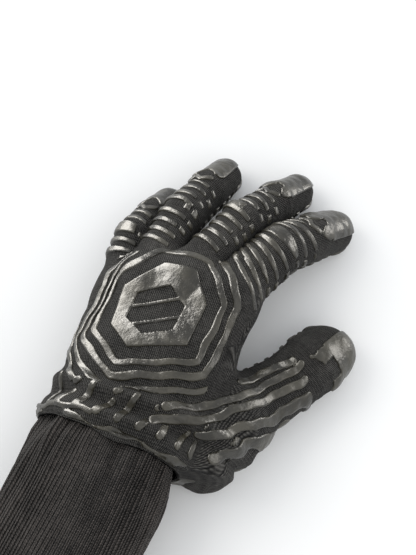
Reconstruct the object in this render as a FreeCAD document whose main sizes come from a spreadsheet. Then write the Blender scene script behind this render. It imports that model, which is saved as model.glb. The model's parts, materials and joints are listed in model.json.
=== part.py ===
import FreeCAD, Part

import math
import os

from FreeCAD import Placement, Rotation, Vector

# A left-hand heat resistant glove with a long knit cuff, lying palm down on its fingertips, its
# thumb tip and the hem of its cuff. Millimetres, +Z up, +Y from the cuff towards the fingers,
# +X towards the thumb. Points are given from the centre of the wrist; the seat cells then move
# every sub-part so that the origin is the middle of the glove's base.

SIZES = {
    # middle of the base, seen from the wrist centre
    "seat_x": 22.4,
    "seat_y": 24.4,
    # cloth, print and working gaps
    "knit_wall": 2.2,
    "liner_wall": 1.0,
    "liner_gap": 0.1,
    "print_lift": 1.2,
    "print_gap": 0.1,
    "hinge_gap": 0.4,
    # print on the stalls: bars across the fingers, strips along the thumb, pads on the tips
    "bar_width": 3.2,
    "bar_pitch": 6.7,
    "bar_arc": 116.0,
    "grip_arc": 84.0,
    "strip_arc": 14.0,
    "cap_length": 17.0,
    "cap_depth": 3.0,
    # palm
    "palm_roll": 8.5,
    "knuckle_bend": 15.0,
    "thumb_bend": 6.0,
    "collar_length": 26.0,
    "heel_radius": 18.0,
    "liner_setback": 14.0,
    # cuff
    "cuff_tuck": 4.0,
    "cuff_swell": 26.0,
    "cuff_length": 120.0,
    "cuff_heading": 8.2,
    "cuff_rise": 2.8,
    "hem_width": 9.0,
    "hem_wall": 3.2,
    # printed hexagon and the rings round it on the back of the hand
    "hexagon_x": 5.5,
    "hexagon_y": 71.0,
    "hexagon_turn": 20.0,
    "hexagon_radius": 25.0,
    "hexagon_window": 13.0,
    "ring_pitch": 7.6,
    "ring_width": 3.8,
    # printed blocks and border round the wrist, printed grip bars under the palm
    "band_y": 6.0,
    "band_length": 12.0,
    "band_block": 7.0,
    "band_pitch": 12.0,
    "border_width": 4.0,
    "grip_y": 30.0,
    "grip_pitch": 11.0,
    "grip_width": 5.0,
    "grip_span": 60.0,
}

# Elliptical sections: place along the hand, sideways and up, then half width and half height.
PALM_SECTIONS = {
    "skirt": dict(along=-4.0, side=0.0, rise=31.6, wide=41.8, high=31.3),
    "heel": dict(along=14.0, side=4.5, rise=31.0, wide=40.5, high=27.0),
    "middle": dict(along=45.0, side=8.0, rise=33.5, wide=42.0, high=20.5),
    "knuckle": dict(along=76.0, side=8.0, rise=37.0, wide=42.5, high=18.0),
    "web": dict(along=99.0, side=8.5, rise=36.0, wide=38.0, high=12.5),
}
CUFF_SECTIONS = {
    "tuck": dict(wide=28.0, high=19.0),
    "wrist": dict(wide=31.5, high=23.0),
    "swell": dict(wide=37.5, high=30.0),
    "mouth": dict(wide=42.0, high=36.4),
}

# Each stall: middle of its root, of its joint and of its round tip, and the three radii. The
# height of the tip isn't given, because the printed tip rests on the base plane.
STALLS = {
    "index": dict(root=(42.4, 104.1, 38.4), joint=(53.8, 125.4, 33.6), tip=(76.4, 155.2),
                  radii=(11.2, 10.8, 9.6)),
    "middle": dict(root=(18.9, 111.4, 38.3), joint=(29.2, 134.9, 33.7), tip=(50.6, 172.0),
                   radii=(11.2, 10.8, 9.6)),
    "ring": dict(root=(-6.6, 107.4, 35.6), joint=(-3.0, 129.8, 32.2), tip=(7.2, 169.6),
                 radii=(10.6, 10.3, 9.2)),
    "little": dict(root=(-28.8, 100.2, 29.6), joint=(-28.2, 112.8, 28.0), tip=(-21.8, 142.6),
                   radii=(9.2, 9.0, 8.4)),
    "thumb": dict(root=(58.0, 44.6, 22.6), joint=(77.6, 64.8, 18.8), tip=(92.1, 82.6),
                  radii=(14.4, 13.2, 12.4)),
}
WRIST = Vector(0.0, 0.0, 31.5)
HEEL_START = Vector(33.0, 9.0, 26.5)
THUMB_STRIPS = (118.0, 146.0, 174.0, 202.0, 230.0)
RINGS = 3
FRONT = 0.0
BACK = 180.0
OVERRUN = 1.0
TALL = 120.0


def add_size_sheet(document):
    """Writes every driving dimension to the sheet as a plain number with an alias."""
    cells = dict(SIZES)
    for sections in (PALM_SECTIONS, CUFF_SECTIONS):
        for section, numbers in sections.items():
            for key, number in numbers.items():
                cells[section + "_" + key] = number
    for stall, points in STALLS.items():
        for end, radius in zip(("root", "joint", "tip"), points["radii"]):
            cells[stall + "_" + end + "_radius"] = radius
    table = document.addObject("Spreadsheet::Sheet", "sizes")
    for row, (alias, number) in enumerate(cells.items(), start=1):
        table.set("A" + str(row), alias)
        table.set("B" + str(row), str(number))
        table.setAlias("B" + str(row), alias)
    document.recompute()
    return table


doc = FreeCAD.newDocument("heat_glove")
sheet = add_size_sheet(doc)
nodes = []
joints = []


def size(alias):
    """A driving dimension as a number, for places and counts."""
    return float(sheet.get(alias))


def plain(number):
    """A worked-out number as the text of an expression."""
    return "%.4f" % number


def cell(text):
    """An expression whose aliases are looked up in the sheet."""
    words = text.split()
    return " ".join("sizes." + word if word[0].isalpha() else word for word in words)


def primitive(kind, place, **sizes):
    """A Part primitive at a placement, its sizes bound to the sheet."""
    obj = doc.addObject("Part::" + kind, kind)
    obj.Placement = place
    for name, text in sizes.items():
        obj.setExpression(name, cell(text))
    return obj


def fuse(*objects):
    """One solid from several."""
    obj = doc.addObject("Part::MultiFuse", "Fuse")
    obj.Shapes = list(objects)
    return obj


def group(*objects):
    """Separate solids handled as one object."""
    obj = doc.addObject("Part::Compound", "Group")
    obj.Links = list(objects)
    return obj


def cut(base, tool):
    """The base without the tool."""
    obj = doc.addObject("Part::Cut", "Cut")
    obj.Base = base
    obj.Tool = tool
    return obj


def common(base, tool):
    """What the base and the tool share."""
    obj = doc.addObject("Part::Common", "Common")
    obj.Base = base
    obj.Tool = tool
    return obj


def seat(obj, label):
    """Names a finished sub-part and moves it to the row's origin."""
    obj.Label = label
    obj.setExpression("Placement.Base.x", "-sizes.seat_x")
    obj.setExpression("Placement.Base.y", "-sizes.seat_y")
    nodes.append(obj)


def note_joint(name, parent, child, place, axis):
    """Keeps a hinge as the finished row has it, for the printed list."""
    joints.append((name, parent, child, place - Vector(size("seat_x"), size("seat_y"), 0), axis))


def axis_frame(start, along, side):
    """A placement with Z along a stall, Y along its hinge line and X towards the palm side."""
    return Placement(start, Rotation(side.cross(along), side, along, "ZYX"))


def shifted(place, along, turn=0.0):
    """The same frame, moved along its own Z and turned about it."""
    return place * Placement(Vector(0, 0, along), Rotation(Vector(0, 0, 1), turn))


def loft(ellipses, ruled):
    """A closed solid through a row of ellipses, straight between them where it is ruled."""
    obj = doc.addObject("Part::Loft", "Loft")
    obj.Sections = ellipses
    obj.Solid = True
    obj.Ruled = ruled
    return obj


class Segment:
    """One straight segment of a stall: a cone cut square at its hinge, round at the tip."""

    def __init__(self, name, frame, length, start, end, rounded):
        self.name = name
        self.frame = frame
        self.length = length
        self.start = start
        self.end = end
        self.rounded = rounded

    def form(self, growth, overrun=0.0):
        """The closed form, grown by an expression and longer by an overrun at each open end."""
        gap = size("hinge_gap")
        free = 0.0 if self.rounded else gap - overrun
        cone = primitive("Cone", shifted(self.frame, gap - overrun),
                         Radius1=self.start + " + " + growth, Radius2=self.end + " + " + growth,
                         Height=plain(self.length - gap + overrun - free))
        if not self.rounded:
            return cone
        ball = primitive("Sphere", shifted(self.frame, self.length), Radius=self.end + " + " + growth)
        return fuse(cone, ball)

    def bars(self, arc, turn, reach):
        """Pie pieces across the segment, a pitch apart, as many as fit in a reach."""
        first = 4 * size("hinge_gap")
        slope = (size(self.end) - size(self.start)) / self.length
        count = int((reach - first - size("bar_width")) / size("bar_pitch")) + 1
        pieces = []
        for number in range(count):
            along = first + number * size("bar_pitch")
            place = shifted(self.frame, along, turn - size(arc) / 2)
            radius = self.start + " + print_lift + " + plain(slope * along)
            pieces.append(primitive("Cylinder", place, Radius=radius, Height="bar_width", Angle=arc))
        return pieces

    def strips(self, turns, reach):
        """Narrow pie pieces along the segment, one at each turn about its axis."""
        first = 4 * size("hinge_gap")
        pieces = []
        for turn in turns:
            place = shifted(self.frame, first, turn - size("strip_arc") / 2)
            pieces.append(primitive("Cone", place, Radius1=self.start + " + print_lift",
                                    Radius2=self.end + " + print_lift",
                                    Height=plain(reach - 2 * first), Angle="strip_arc"))
        return pieces

    def cap(self, turn):
        """The pad that covers one side of the round tip."""
        reach = size(self.end) + size("print_lift")
        start = self.length + reach - size("cap_length")
        corner = Placement(Vector(size("cap_depth"), -reach, start), Rotation())
        block = primitive("Box", shifted(self.frame, 0.0, turn) * corner,
                          Length=plain(reach), Width=plain(2 * reach), Height="cap_length")
        return common(self.form("print_lift"), block)

    def add_printed(self, pieces, label):
        """Print pieces trimmed to the cloth under them, as one sub-part."""
        seat(cut(group(*pieces), self.form("print_gap", OVERRUN)), label)


class Stall:
    """One finger or thumb: a base segment and a tip segment on two hinges."""

    def __init__(self, name, knuckle_bend, root_normal=None):
        points = STALLS[name]
        root, joint = Vector(*points["root"]), Vector(*points["joint"])
        tip = Vector(*points["tip"], size(name + "_tip_radius") + size("print_lift"))
        root_radius, joint_radius = size(name + "_root_radius"), size(name + "_joint_radius")
        way = (joint - root).normalize()
        side = way.cross(tip - joint).normalize()
        self.name = name
        self.root_side = root_normal.cross(way).normalize() if root_normal else side
        self.joint_side = side
        self.root_hinge = root + self.root_side.cross(way) * root_radius
        self.joint_hinge = joint + side.cross(way) * joint_radius
        self.collar_way = Rotation(self.root_side, -knuckle_bend).multVec(way)
        reach = tip - self.joint_hinge
        lift = math.degrees(math.asin(joint_radius / reach.Length))
        tip_way = Rotation(side, lift).multVec(reach).normalize()
        tip_start = self.joint_hinge - side.cross(tip_way) * joint_radius
        self.bend = math.degrees(way.getAngle(tip_way))
        self.base = Segment(name + "_base", axis_frame(root, way, side), (joint - root).Length,
                            name + "_root_radius", name + "_joint_radius", rounded=False)
        self.tip = Segment(name + "_tip", axis_frame(tip_start, tip_way, side),
                           (tip - tip_start).Length, name + "_joint_radius",
                           name + "_tip_radius", rounded=True)
        note_joint(name + "_root", "palm", self.base.name, self.root_hinge, self.root_side)
        note_joint(name + "_bend", self.base.name, self.tip.name, self.joint_hinge, side)

    def add_cloth(self):
        """The knit shell and the cotton liner of both segments."""
        outside = "0.0 - knit_wall - liner_gap"
        for segment in (self.base, self.tip):
            shell = cut(segment.form("0.0"), segment.form("0.0 - knit_wall", OVERRUN))
            seat(shell, segment.name + "_knit")
            liner = cut(segment.form(outside), segment.form(outside + " - liner_wall", OVERRUN))
            seat(liner, segment.name + "_liner")

    def add_print(self, strip_turns=()):
        """Bars on the back, or strips at the given turns, and grip bars on the palm side."""
        for segment in (self.base, self.tip):
            reach = segment.length - size("hinge_gap")
            if segment.rounded:
                reach += size(segment.end) - size("cap_length")
            if strip_turns:
                back = segment.strips(strip_turns, reach)
            else:
                back = segment.bars("bar_arc", BACK, reach)
            grip = segment.bars("grip_arc", FRONT, reach)
            if segment.rounded:
                back.append(segment.cap(BACK))
                grip.append(segment.cap(FRONT))
            segment.add_printed(back, segment.name + "_print")
            segment.add_printed(grip, segment.name + "_grip")

    def collar(self, growth, overrun):
        """The palm's collar for this stall, which ends square at the root hinge."""
        radius = size(self.name + "_root_radius")
        end = self.root_hinge - self.root_side.cross(self.collar_way) * radius
        start = end - self.collar_way * size("collar_length")
        return primitive("Cylinder", axis_frame(start, self.collar_way, self.root_side),
                         Radius=self.name + "_root_radius + " + growth,
                         Height="collar_length + " + plain(overrun))


class Palm:
    """The palm, with a collar for each stall and the heel of the thumb."""

    def __init__(self, stalls):
        self.stalls = stalls

    def section(self, name, growth, shift):
        """One elliptical section, grown by an expression and shifted along the hand."""
        tilt = Rotation(Vector(0, 1, 0), -size("palm_roll"))
        upright = Rotation(Vector(1, 0, 0), Vector(0, 0, 1), Vector(0, -1, 0), "ZXY")
        along = size(name + "_along") + shift
        middle = Vector(size(name + "_side"), along, size(name + "_rise"))
        return primitive("Ellipse", Placement(middle, tilt * upright),
                         MajorRadius=name + "_wide + " + growth,
                         MinorRadius=name + "_high + " + growth)

    def form(self, growth, overrun=0.0, front_wall=0.0, collared=True):
        """The closed form: the palm, the heel and, where asked, the collars as one solid."""
        shifts = dict.fromkeys(PALM_SECTIONS, 0.0)
        shifts["skirt"] = -overrun
        shifts["web"] = -front_wall
        ellipses = [self.section(name, growth, shift) for name, shift in shifts.items()]
        thumb = self.stalls[-1]
        heel_run = Vector(*STALLS["thumb"]["root"]) - HEEL_START - thumb.collar_way * OVERRUN
        heel_way = Vector(heel_run).normalize()
        heel_side = Vector(0, 0, 1).cross(heel_way).normalize()
        start = HEEL_START + heel_way * front_wall
        heel = primitive("Cone", axis_frame(start, heel_way, heel_side),
                         Radius1="heel_radius + " + growth,
                         Radius2="thumb_root_radius + " + growth,
                         Height=plain(heel_run.Length - front_wall - size("thumb_root_radius") / 3))
        collars = [stall.collar(growth, overrun) for stall in self.stalls if collared]
        return fuse(loft(ellipses, ruled=False), heel, *collars)

    def add_cloth(self):
        """The knit shell and the cotton liner."""
        wall = size("knit_wall")
        outside = "0.0 - knit_wall - liner_gap"
        lining = wall + size("liner_gap")
        inside = lining + size("liner_wall")
        seat(cut(self.form("0.0"), self.form("0.0 - knit_wall", OVERRUN, wall)), "palm_knit")
        liner = cut(self.form(outside, 0.0, lining),
                    self.form(outside + " - liner_wall", OVERRUN, inside))
        wrist_end = Vector(-TALL / 2, size("skirt_along") - TALL + size("liner_setback"), 0)
        setback = primitive("Box", Placement(wrist_end, Rotation()), Length=plain(TALL),
                            Width=plain(TALL), Height=plain(TALL))
        seat(cut(liner, setback), "palm_liner")

    def add_print(self):
        """The print on the back of the hand, round the wrist and under the palm."""
        skin = cut(self.form("print_lift", collared=False), self.form("print_gap"))
        back = hexagon_piece("hexagon_radius", "hexagon_window")
        seat(common(skin, back), "hexagon_print")
        rings = []
        for number in range(1, RINGS + 1):
            outer = "hexagon_radius + ring_pitch * " + plain(number)
            rings.append(hexagon_piece(outer, outer + " - ring_width"))
        seat(common(skin, group(*rings)), "ring_print")
        blocks = [self.block("band_block", "band_length", number * size("band_pitch"),
                             size("band_y"), 1) for number in range(-2, 4)]
        seat(common(skin, group(*blocks)), "band_print")
        border = self.block("skirt_wide * 2 + print_lift * 4", "border_width", 0.0,
                            size("skirt_along"), 1)
        seat(common(skin, border), "border_print")
        grips = [self.block("grip_span", "grip_width", size("middle_side"),
                            size("grip_y") + number * size("grip_pitch"), -1) for number in range(6)]
        seat(common(skin, group(*grips)), "palm_grip")

    def block(self, width, length, side, along, upward):
        """A tall block over (1) or under (-1) the palm, centred at a sideways place."""
        rise = size("middle_rise")
        low = rise if upward > 0 else rise - TALL
        box = primitive("Box", Placement(Vector(side, along, low), Rotation()),
                        Length=width, Width=length, Height=plain(TALL))
        box.setExpression("Placement.Base.x", plain(side) + " - (" + cell(width) + ") / 2")
        return box


def hexagon_piece(outer, inner):
    """A tall hexagonal ring over the back of the hand, between two corner radii."""
    place = Placement(Vector(size("hexagon_x"), size("hexagon_y"), size("knuckle_rise")),
                      Rotation(Vector(0, 0, 1), size("hexagon_turn")))
    whole = primitive("Prism", place, Circumradius=outer, Height=plain(TALL))
    window = primitive("Prism", place, Circumradius=inner, Height=plain(TALL))
    return cut(whole, window)


def cuff_form(growth, names, places):
    """A closed piece of the cuff through named sections at distances below the wrist."""
    heading, rise = math.radians(size("cuff_heading")), math.radians(size("cuff_rise"))
    way = Vector(-math.sin(heading) * math.cos(rise), -math.cos(heading) * math.cos(rise),
                 math.sin(rise))
    across = Vector(math.cos(heading), -math.sin(heading), 0)
    ellipses = []
    for name, place in zip(names, places):
        turn = Rotation(across, way.cross(across), way, "ZXY")
        ellipses.append(primitive("Ellipse", Placement(WRIST + way * place, turn),
                                  MajorRadius=name + "_wide + " + growth,
                                  MinorRadius=name + "_high + " + growth))
    return loft(ellipses, ruled=True)


def add_cuff():
    """The ribbed cuff and the overlocked hem at its mouth."""
    names = ("tuck", "wrist", "swell", "mouth")
    places = [-size("cuff_tuck"), 0.0, size("cuff_swell"), size("cuff_length")]
    outer = cuff_form("0.0", names, places)
    bore = [places[0] - OVERRUN, places[1], places[2], places[3] + OVERRUN]
    seat(cut(outer, cuff_form("0.0 - knit_wall", names, bore)), "cuff_knit")
    hem_start = places[3] + size("hinge_gap") / 2
    hem_end = places[3] + size("hem_width")
    hem = cuff_form("hem_wall - knit_wall", ("mouth", "mouth"), (hem_start, hem_end))
    hem_bore = cuff_form("0.0 - knit_wall", ("mouth", "mouth"),
                         (hem_start - OVERRUN, hem_end + OVERRUN))
    seat(cut(hem, hem_bore), "cuff_hem")
    note_joint("wrist", "palm", "cuff", WRIST, Vector(1, 0, 0))


def build():
    """Makes every sub-part in the document."""
    roll = math.radians(size("palm_roll"))
    palm_normal = Vector(-math.sin(roll), 0, math.cos(roll))
    stalls = [Stall(name, size("knuckle_bend"), palm_normal)
              for name in ("index", "middle", "ring", "little")]
    stalls.append(Stall("thumb", size("thumb_bend")))
    palm = Palm(stalls)
    palm.add_cloth()
    palm.add_print()
    add_cuff()
    for stall in stalls:
        stall.add_cloth()
        stall.add_print(THUMB_STRIPS if stall.name == "thumb" else ())
    for stall in stalls:
        print("%s: rest bend %.1f degrees" % (stall.name, stall.bend))


def export():
    """Recomputes, checks every object and writes one STEP file for each sub-part."""
    doc.recompute()
    for obj in doc.Objects:
        if "Invalid" in obj.State or "Error" in obj.State:
            raise RuntimeError(obj.Label + " is " + ", ".join(obj.State))
    os.makedirs("parts", exist_ok=True)
    for node in nodes:
        if node.Shape.isNull() or not node.Shape.isValid() or not node.Shape.Solids:
            raise RuntimeError(node.Label + " has no valid shape")
    for node in nodes:
        node.Shape.exportStep(os.path.join("parts", node.Label + ".step"))
    whole = FreeCAD.BoundBox()
    for node in nodes:
        whole.add(node.Shape.BoundBox)
    print("%d sub-parts, box" % len(nodes), whole)
    for name, parent, child, place, axis in joints:
        print("joint %s %s %s %.3f %.3f %.3f %.5f %.5f %.5f" % (name, parent, child, *place, *axis))


build()
export()
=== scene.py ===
import json
import math

import bpy
import numpy as np
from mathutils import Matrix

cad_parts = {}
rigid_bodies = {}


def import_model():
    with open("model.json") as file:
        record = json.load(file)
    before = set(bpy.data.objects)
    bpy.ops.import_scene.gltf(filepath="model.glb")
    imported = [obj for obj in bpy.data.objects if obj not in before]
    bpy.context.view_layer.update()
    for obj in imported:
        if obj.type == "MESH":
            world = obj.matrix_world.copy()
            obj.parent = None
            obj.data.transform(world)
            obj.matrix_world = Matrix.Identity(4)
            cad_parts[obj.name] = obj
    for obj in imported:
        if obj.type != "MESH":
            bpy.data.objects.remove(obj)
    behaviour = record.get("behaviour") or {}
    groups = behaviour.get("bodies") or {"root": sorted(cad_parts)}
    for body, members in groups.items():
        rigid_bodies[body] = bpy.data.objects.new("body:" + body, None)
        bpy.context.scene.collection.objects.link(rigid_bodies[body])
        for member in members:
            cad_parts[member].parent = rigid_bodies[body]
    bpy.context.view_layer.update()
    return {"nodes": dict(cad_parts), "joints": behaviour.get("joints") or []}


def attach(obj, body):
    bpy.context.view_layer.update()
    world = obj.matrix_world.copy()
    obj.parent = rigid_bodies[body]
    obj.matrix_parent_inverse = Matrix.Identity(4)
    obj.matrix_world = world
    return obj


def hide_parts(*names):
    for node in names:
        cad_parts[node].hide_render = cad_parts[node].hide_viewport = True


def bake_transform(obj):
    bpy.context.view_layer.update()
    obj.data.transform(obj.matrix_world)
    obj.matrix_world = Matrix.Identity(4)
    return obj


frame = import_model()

import openvdb
from mathutils import Vector

# A heat resistant glove: a knit hand with raised silicone print over a cotton liner, and a ribbed
# cuff. Lengths in this script are millimetres in the CAD frame; make_object turns them to metres.

MM = 0.001
FAR = 1e9

# Each stall: radii at knuckle, root, joint, last bend and tip, how far the knuckle lies behind the
# root, the turn of its printed side, how flat it is, and how far the cloth's middle line lies off
# the CAD's at those five points.
STALLS = {
    "index": dict(radii=(15.2, 13.4, 12.9, 12.4, 11.4), back=20.0, turn=4.0,
                  shifts=((1.0, 0, 0), (-1.0, 1.0, 0), (-1.0, 1.5, 0), (0, 2.0, 1.6),
                          (0.5, 1.5, 0.8))),
    "middle": dict(radii=(14.2, 11.8, 11.5, 11.0, 9.8), back=22.0, turn=22.0,
                   shifts=((0, 0, 0), (0, 0.5, 0), (0, 1.5, 0), (0, 1.5, 1.6), (0, 1.5, 0.6))),
    "ring": dict(radii=(13.4, 11.6, 11.4, 10.9, 9.8), back=22.0, turn=26.0,
                 shifts=((0, 0, 0), (0, 0, 0), (0, 0.5, 0), (1.0, 2.0, 1.6), (1.8, 2.5, 1.0))),
    "little": dict(radii=(11.6, 10.0, 9.5, 9.3, 8.8), back=23.0, turn=26.0,
                   shifts=((8.5, 0, 0), (4.2, 0, 0.5), (3.2, 0.5, 1.0), (4.0, 2.0, 2.4),
                           (6.0, 3.5, 1.8))),
    "thumb": dict(radii=(20.0, 18.0, 15.6, 16.4, 15.6), back=14.0, turn=0.0, flat=0.80,
                  shifts=((3.0, -3.0, 0), (2.0, -2.0, 0), (0.5, 0.5, 0), (0.5, 3.0, 1.6),
                          (-0.5, 3.5, 1.0))),
}
# Share of the way from the joint to the tip where the last bend lies, and how many rounds settle
# a stall's direction.
LAST_BEND = 0.6
WAY_ROUNDS = 4


# ---- skeleton, read from the frame

def node_points(name):
    """The vertices of a CAD node, in millimetres."""
    mesh = frame["nodes"][name].data
    flat = np.zeros(len(mesh.vertices) * 3)
    mesh.vertices.foreach_get("co", flat)
    return flat.reshape(-1, 3) / MM


def hinge(name):
    """The place and the axis of a joint, in millimetres."""
    joint = next(j for j in frame["joints"] if j["name"] == name)
    return np.array(joint["pos_m"]) / MM, np.array(joint["axis"])


def above_hinge(points, place, axis, way):
    """The middle of a stall over a hinge line on its palm side: half the way to its back."""
    back = np.cross(way, axis)
    return place + back * ((points - place) @ back).max() / 2


def unit(vector):
    return vector / np.linalg.norm(vector)


class Stall:
    """The bent centre line of a finger or thumb, with a radius at each point."""

    def __init__(self, name, shape):
        base = node_points(name + "_base_knit")
        tip = node_points(name + "_tip_knit")
        root_hinge, root_axis = hinge(name + "_root")
        bend_hinge, bend_axis = hinge(name + "_bend")
        self.name = name
        self.way = unit(bend_hinge - root_hinge)
        for _ in range(WAY_ROUNDS):
            root = above_hinge(base, root_hinge, root_axis, self.way)
            joint = above_hinge(base, bend_hinge, bend_axis, self.way)
            self.way = unit(joint - root)
        far = tip[np.linalg.norm(tip - joint, axis=1).argmax()]
        self.radii = shape["radii"]
        self.tip = far - unit(far - joint) * self.radii[-1]
        knuckle = root - self.way * shape["back"]
        last = joint + (self.tip - joint) * LAST_BEND
        self.points = np.array([knuckle, root, joint, last, self.tip])
        self.points += shape["shifts"]
        self.flat = shape.get("flat", 1.0)
        steps = np.linalg.norm(np.diff(self.points, axis=0), axis=1)
        self.runs = np.concatenate([[0.0], np.cumsum(steps)])
        self.root_run, self.joint_run = self.runs[1:3]
        self.reach = self.runs[-1] + self.radii[-1] - self.root_run
        self.back_side = unit(-np.cross(root_axis, self.way))
        self.turn = math.radians(shape["turn"])

    def locate(self, points):
        """For each point: distance to the skin, place along the stall, and turn about it."""
        best = np.full(len(points), FAR)
        run, radius = np.zeros((2, len(points)))
        foot = np.zeros((len(points), 3))
        way = np.tile(self.way, (len(points), 1))
        for number in range(len(self.points) - 1):
            start, end = self.points[number:number + 2]
            line = end - start
            share = np.clip((points - start) @ line / (line @ line), 0, 1)
            near = start + share[:, None] * line
            thick = self.radii[number] + (self.radii[number + 1] - self.radii[number]) * share
            gap = np.linalg.norm(points - near, axis=1) - thick
            closer = gap < best
            best = np.where(closer, gap, best)
            over = np.maximum((points - end) @ unit(line), 0) * (number == len(self.points) - 2)
            run = np.where(closer, self.runs[number] + share * np.linalg.norm(line) + over, run)
            foot[closer] = near[closer]
            radius = np.where(closer, thick, radius)
            way[closer] = unit(line)
        side = np.cross(way, self.back_side)
        side /= np.linalg.norm(side, axis=1)[:, None]
        back = np.cross(side, way)
        out = points - foot
        angle = np.arctan2((out * side).sum(1), (out * back).sum(1)) + self.turn
        angle = (angle + math.pi) % (2 * math.pi) - math.pi
        return best, run, angle, radius


stalls = {name: Stall(name, shape) for name, shape in STALLS.items()}
wrist, _ = hinge("wrist")
hem_points = node_points("cuff_hem")
mouth = (hem_points.min(0) + hem_points.max(0)) / 2
cuff_way = unit(mouth - wrist)
cuff_side = unit(np.cross(cuff_way, (0.0, 0.0, 1.0)))
cuff_up = np.cross(cuff_side, cuff_way)


# ---- the hand's form

def round_cone(grid, start, end, start_radius, end_radius, flat=1.0):
    """Distance to a tapered capsule, with its height squeezed to a share."""
    line = end - start
    offset = [axis - place for axis, place in zip(grid, start)]
    share = sum(part * way for part, way in zip(offset, line)) / (line @ line)
    share = np.clip(share, 0, 1)
    offset = [part - share * way for part, way in zip(offset, line)]
    offset[2] = offset[2] + offset[2] * (1 / flat - 1)
    reach = np.sqrt(sum(part * part for part in offset))
    return reach - start_radius - (end_radius - start_radius) * share


def soft_min(first, second, blend):
    """The lower of two distances, rounded where they meet."""
    near = np.maximum(blend - np.abs(first - second), 0) / blend
    return np.minimum(first, second) - near * near * blend / 4


def soft_union(parts, blend):
    """The lowest of several distances, rounded where they meet."""
    total, *rest = parts
    for part in rest:
        total = soft_min(total, part, blend)
    return total


def stall_distance(grid, stall):
    """Distance to one finger or thumb."""
    bones = zip(stall.points, stall.points[1:], stall.radii, stall.radii[1:])
    return soft_union([round_cone(grid, *bone, stall.flat) for bone in bones], 2.0)


# Bones of the palm: place of the heel beside the wrist, radius there, finger that it leads to.
PALM_BONES = ((13.0, 24.0, "index"), (4.0, 25.0, "middle"), (-6.0, 25.0, "ring"),
              (-12.0, 22.0, "little"))
# Short bones through the wrist: place beside it and radius.
WRIST_BONES = ((-9.5, 28.5), (13.0, 27.5))


def palm_distance(grid):
    """Distance to the palm, from the wrist to the knuckles, with the ball of the thumb."""
    bones = []
    for side, heel_radius, name in PALM_BONES:
        heel = wrist + (side, 8.0, 0.5)
        knuckle, radius = stalls[name].points[0], stalls[name].radii[0]
        middle = heel * 0.48 + knuckle * 0.52 + (0.0, 0.0, 1.5)
        waist = 0.55 * heel_radius * 0.75 + 0.5 * radius
        bones.append(soft_min(round_cone(grid, heel, middle, heel_radius, waist),
                              round_cone(grid, middle, knuckle, waist, radius), 6.0))
    total = soft_union(bones, 13.0)
    for side, radius in WRIST_BONES:
        low = wrist + (side, -12.0, 0.3)
        high = wrist + (side + 1.5, 14.0, 0.0)
        total = soft_min(total, round_cone(grid, low, high, radius, radius - 3.0), 9.0)
    thumb = stalls["thumb"].points[0]
    ball = round_cone(grid, wrist + (41.0, 19.0, -6.0), thumb, 26.5, 24.0)
    total = soft_min(total, ball, 9.0)
    index = stalls["index"].points[0]
    side = round_cone(grid, wrist + (31.0, 44.0, 3.0), index, 17.0, 15.0)
    total = soft_min(total, side, 8.0)
    little = stalls["little"].points[0] + (0.0, -8.0, -2.0)
    edge = round_cone(grid, wrist + (-12.0, 14.0, -2.0), little, 18.5, 10.5)
    return soft_min(total, edge, 10.0)


# How far below the wrist the hand's lower border lies, and how much less towards the thumb.
BORDER_DROP = 3.4
BORDER_SLOPE = 0.09


def cuff_places(grid):
    """How far places lie aside and above the cuff's line, and over the hand's lower border."""
    offset = [axis - place for axis, place in zip(grid, wrist)]
    aside, above, below = (sum(part * share for part, share in zip(offset, line))
                           for line in (-cuff_side, cuff_up, cuff_way))
    return aside, above, BORDER_DROP - BORDER_SLOPE * np.maximum(aside, 0) - below


def tucked(grid, total):
    """The form drawn in at its wrist end, so that it bulges over the cuff and closes on it."""
    aside, above, over = cuff_places(grid)
    round_cuff = (np.sqrt((aside / 36.5) ** 2 + (above / 29.0) ** 2) - 1) * 31.0
    share = np.maximum((over - 2.4) / 20.0, 0)
    swell = 1 - (1 - np.minimum(share, 1)) ** 2
    room = 1.6 + 26.0 * swell ** 0.7 + 40.0 * np.maximum(share - 1, 0)
    return np.maximum(total, round_cuff - room)


def hand_distance(grid):
    """Distance to the whole hand. Fingers melt into the palm but not into each other."""
    fingers = soft_union([stall_distance(grid, stalls[name]) for *_, name in PALM_BONES], 1.2)
    total = soft_min(palm_distance(grid), fingers, 7.0)
    total = soft_min(total, stall_distance(grid, stalls["thumb"]), 5.0)
    return tucked(grid, total)


def surface_of(voxel, depth):
    """Points and outward quads of the surface that lies a depth under the hand's form."""
    # a box that holds the hand with room to spare
    low = np.array([wrist[0] - 60.0, wrist[1] - 16.0, -6.0])
    high = np.array([stalls["thumb"].tip[0] + 20.0, stalls["middle"].tip[1] + 18.0, 72.0])
    counts = np.ceil((high - low) / voxel).astype(int)
    lines = [(start + voxel * np.arange(count, dtype=np.float32)).astype(np.float32)
             for start, count in zip(low, counts)]
    grid = np.meshgrid(*lines, indexing="ij", sparse=True)
    field = np.ascontiguousarray(hand_distance(grid) + depth, dtype=np.float32)
    volume = openvdb.FloatGrid(background=10.0)
    volume.copyFromArray(field)
    points, quads = volume.convertToQuads(isovalue=0.0)
    return points.astype(float) * voxel + low, quads.astype(int)


def normals_of(points, faces):
    """A unit normal at each point, from the triangles or quads round it."""
    corners = points[faces]
    flat = np.cross(corners[:, -2] - corners[:, 0], corners[:, -1] - corners[:, -3])
    total = np.zeros_like(points)
    for corner in range(faces.shape[1]):
        for axis in range(3):
            total[:, axis] += np.bincount(faces[:, corner], flat[:, axis], len(points))
    return total / np.maximum(np.linalg.norm(total, axis=1), 1e-9)[:, None]


def smooth_step(low, high, value):
    share = np.clip((value - low) / (high - low), 0, 1)
    return share * share * (3 - 2 * share)


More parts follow.
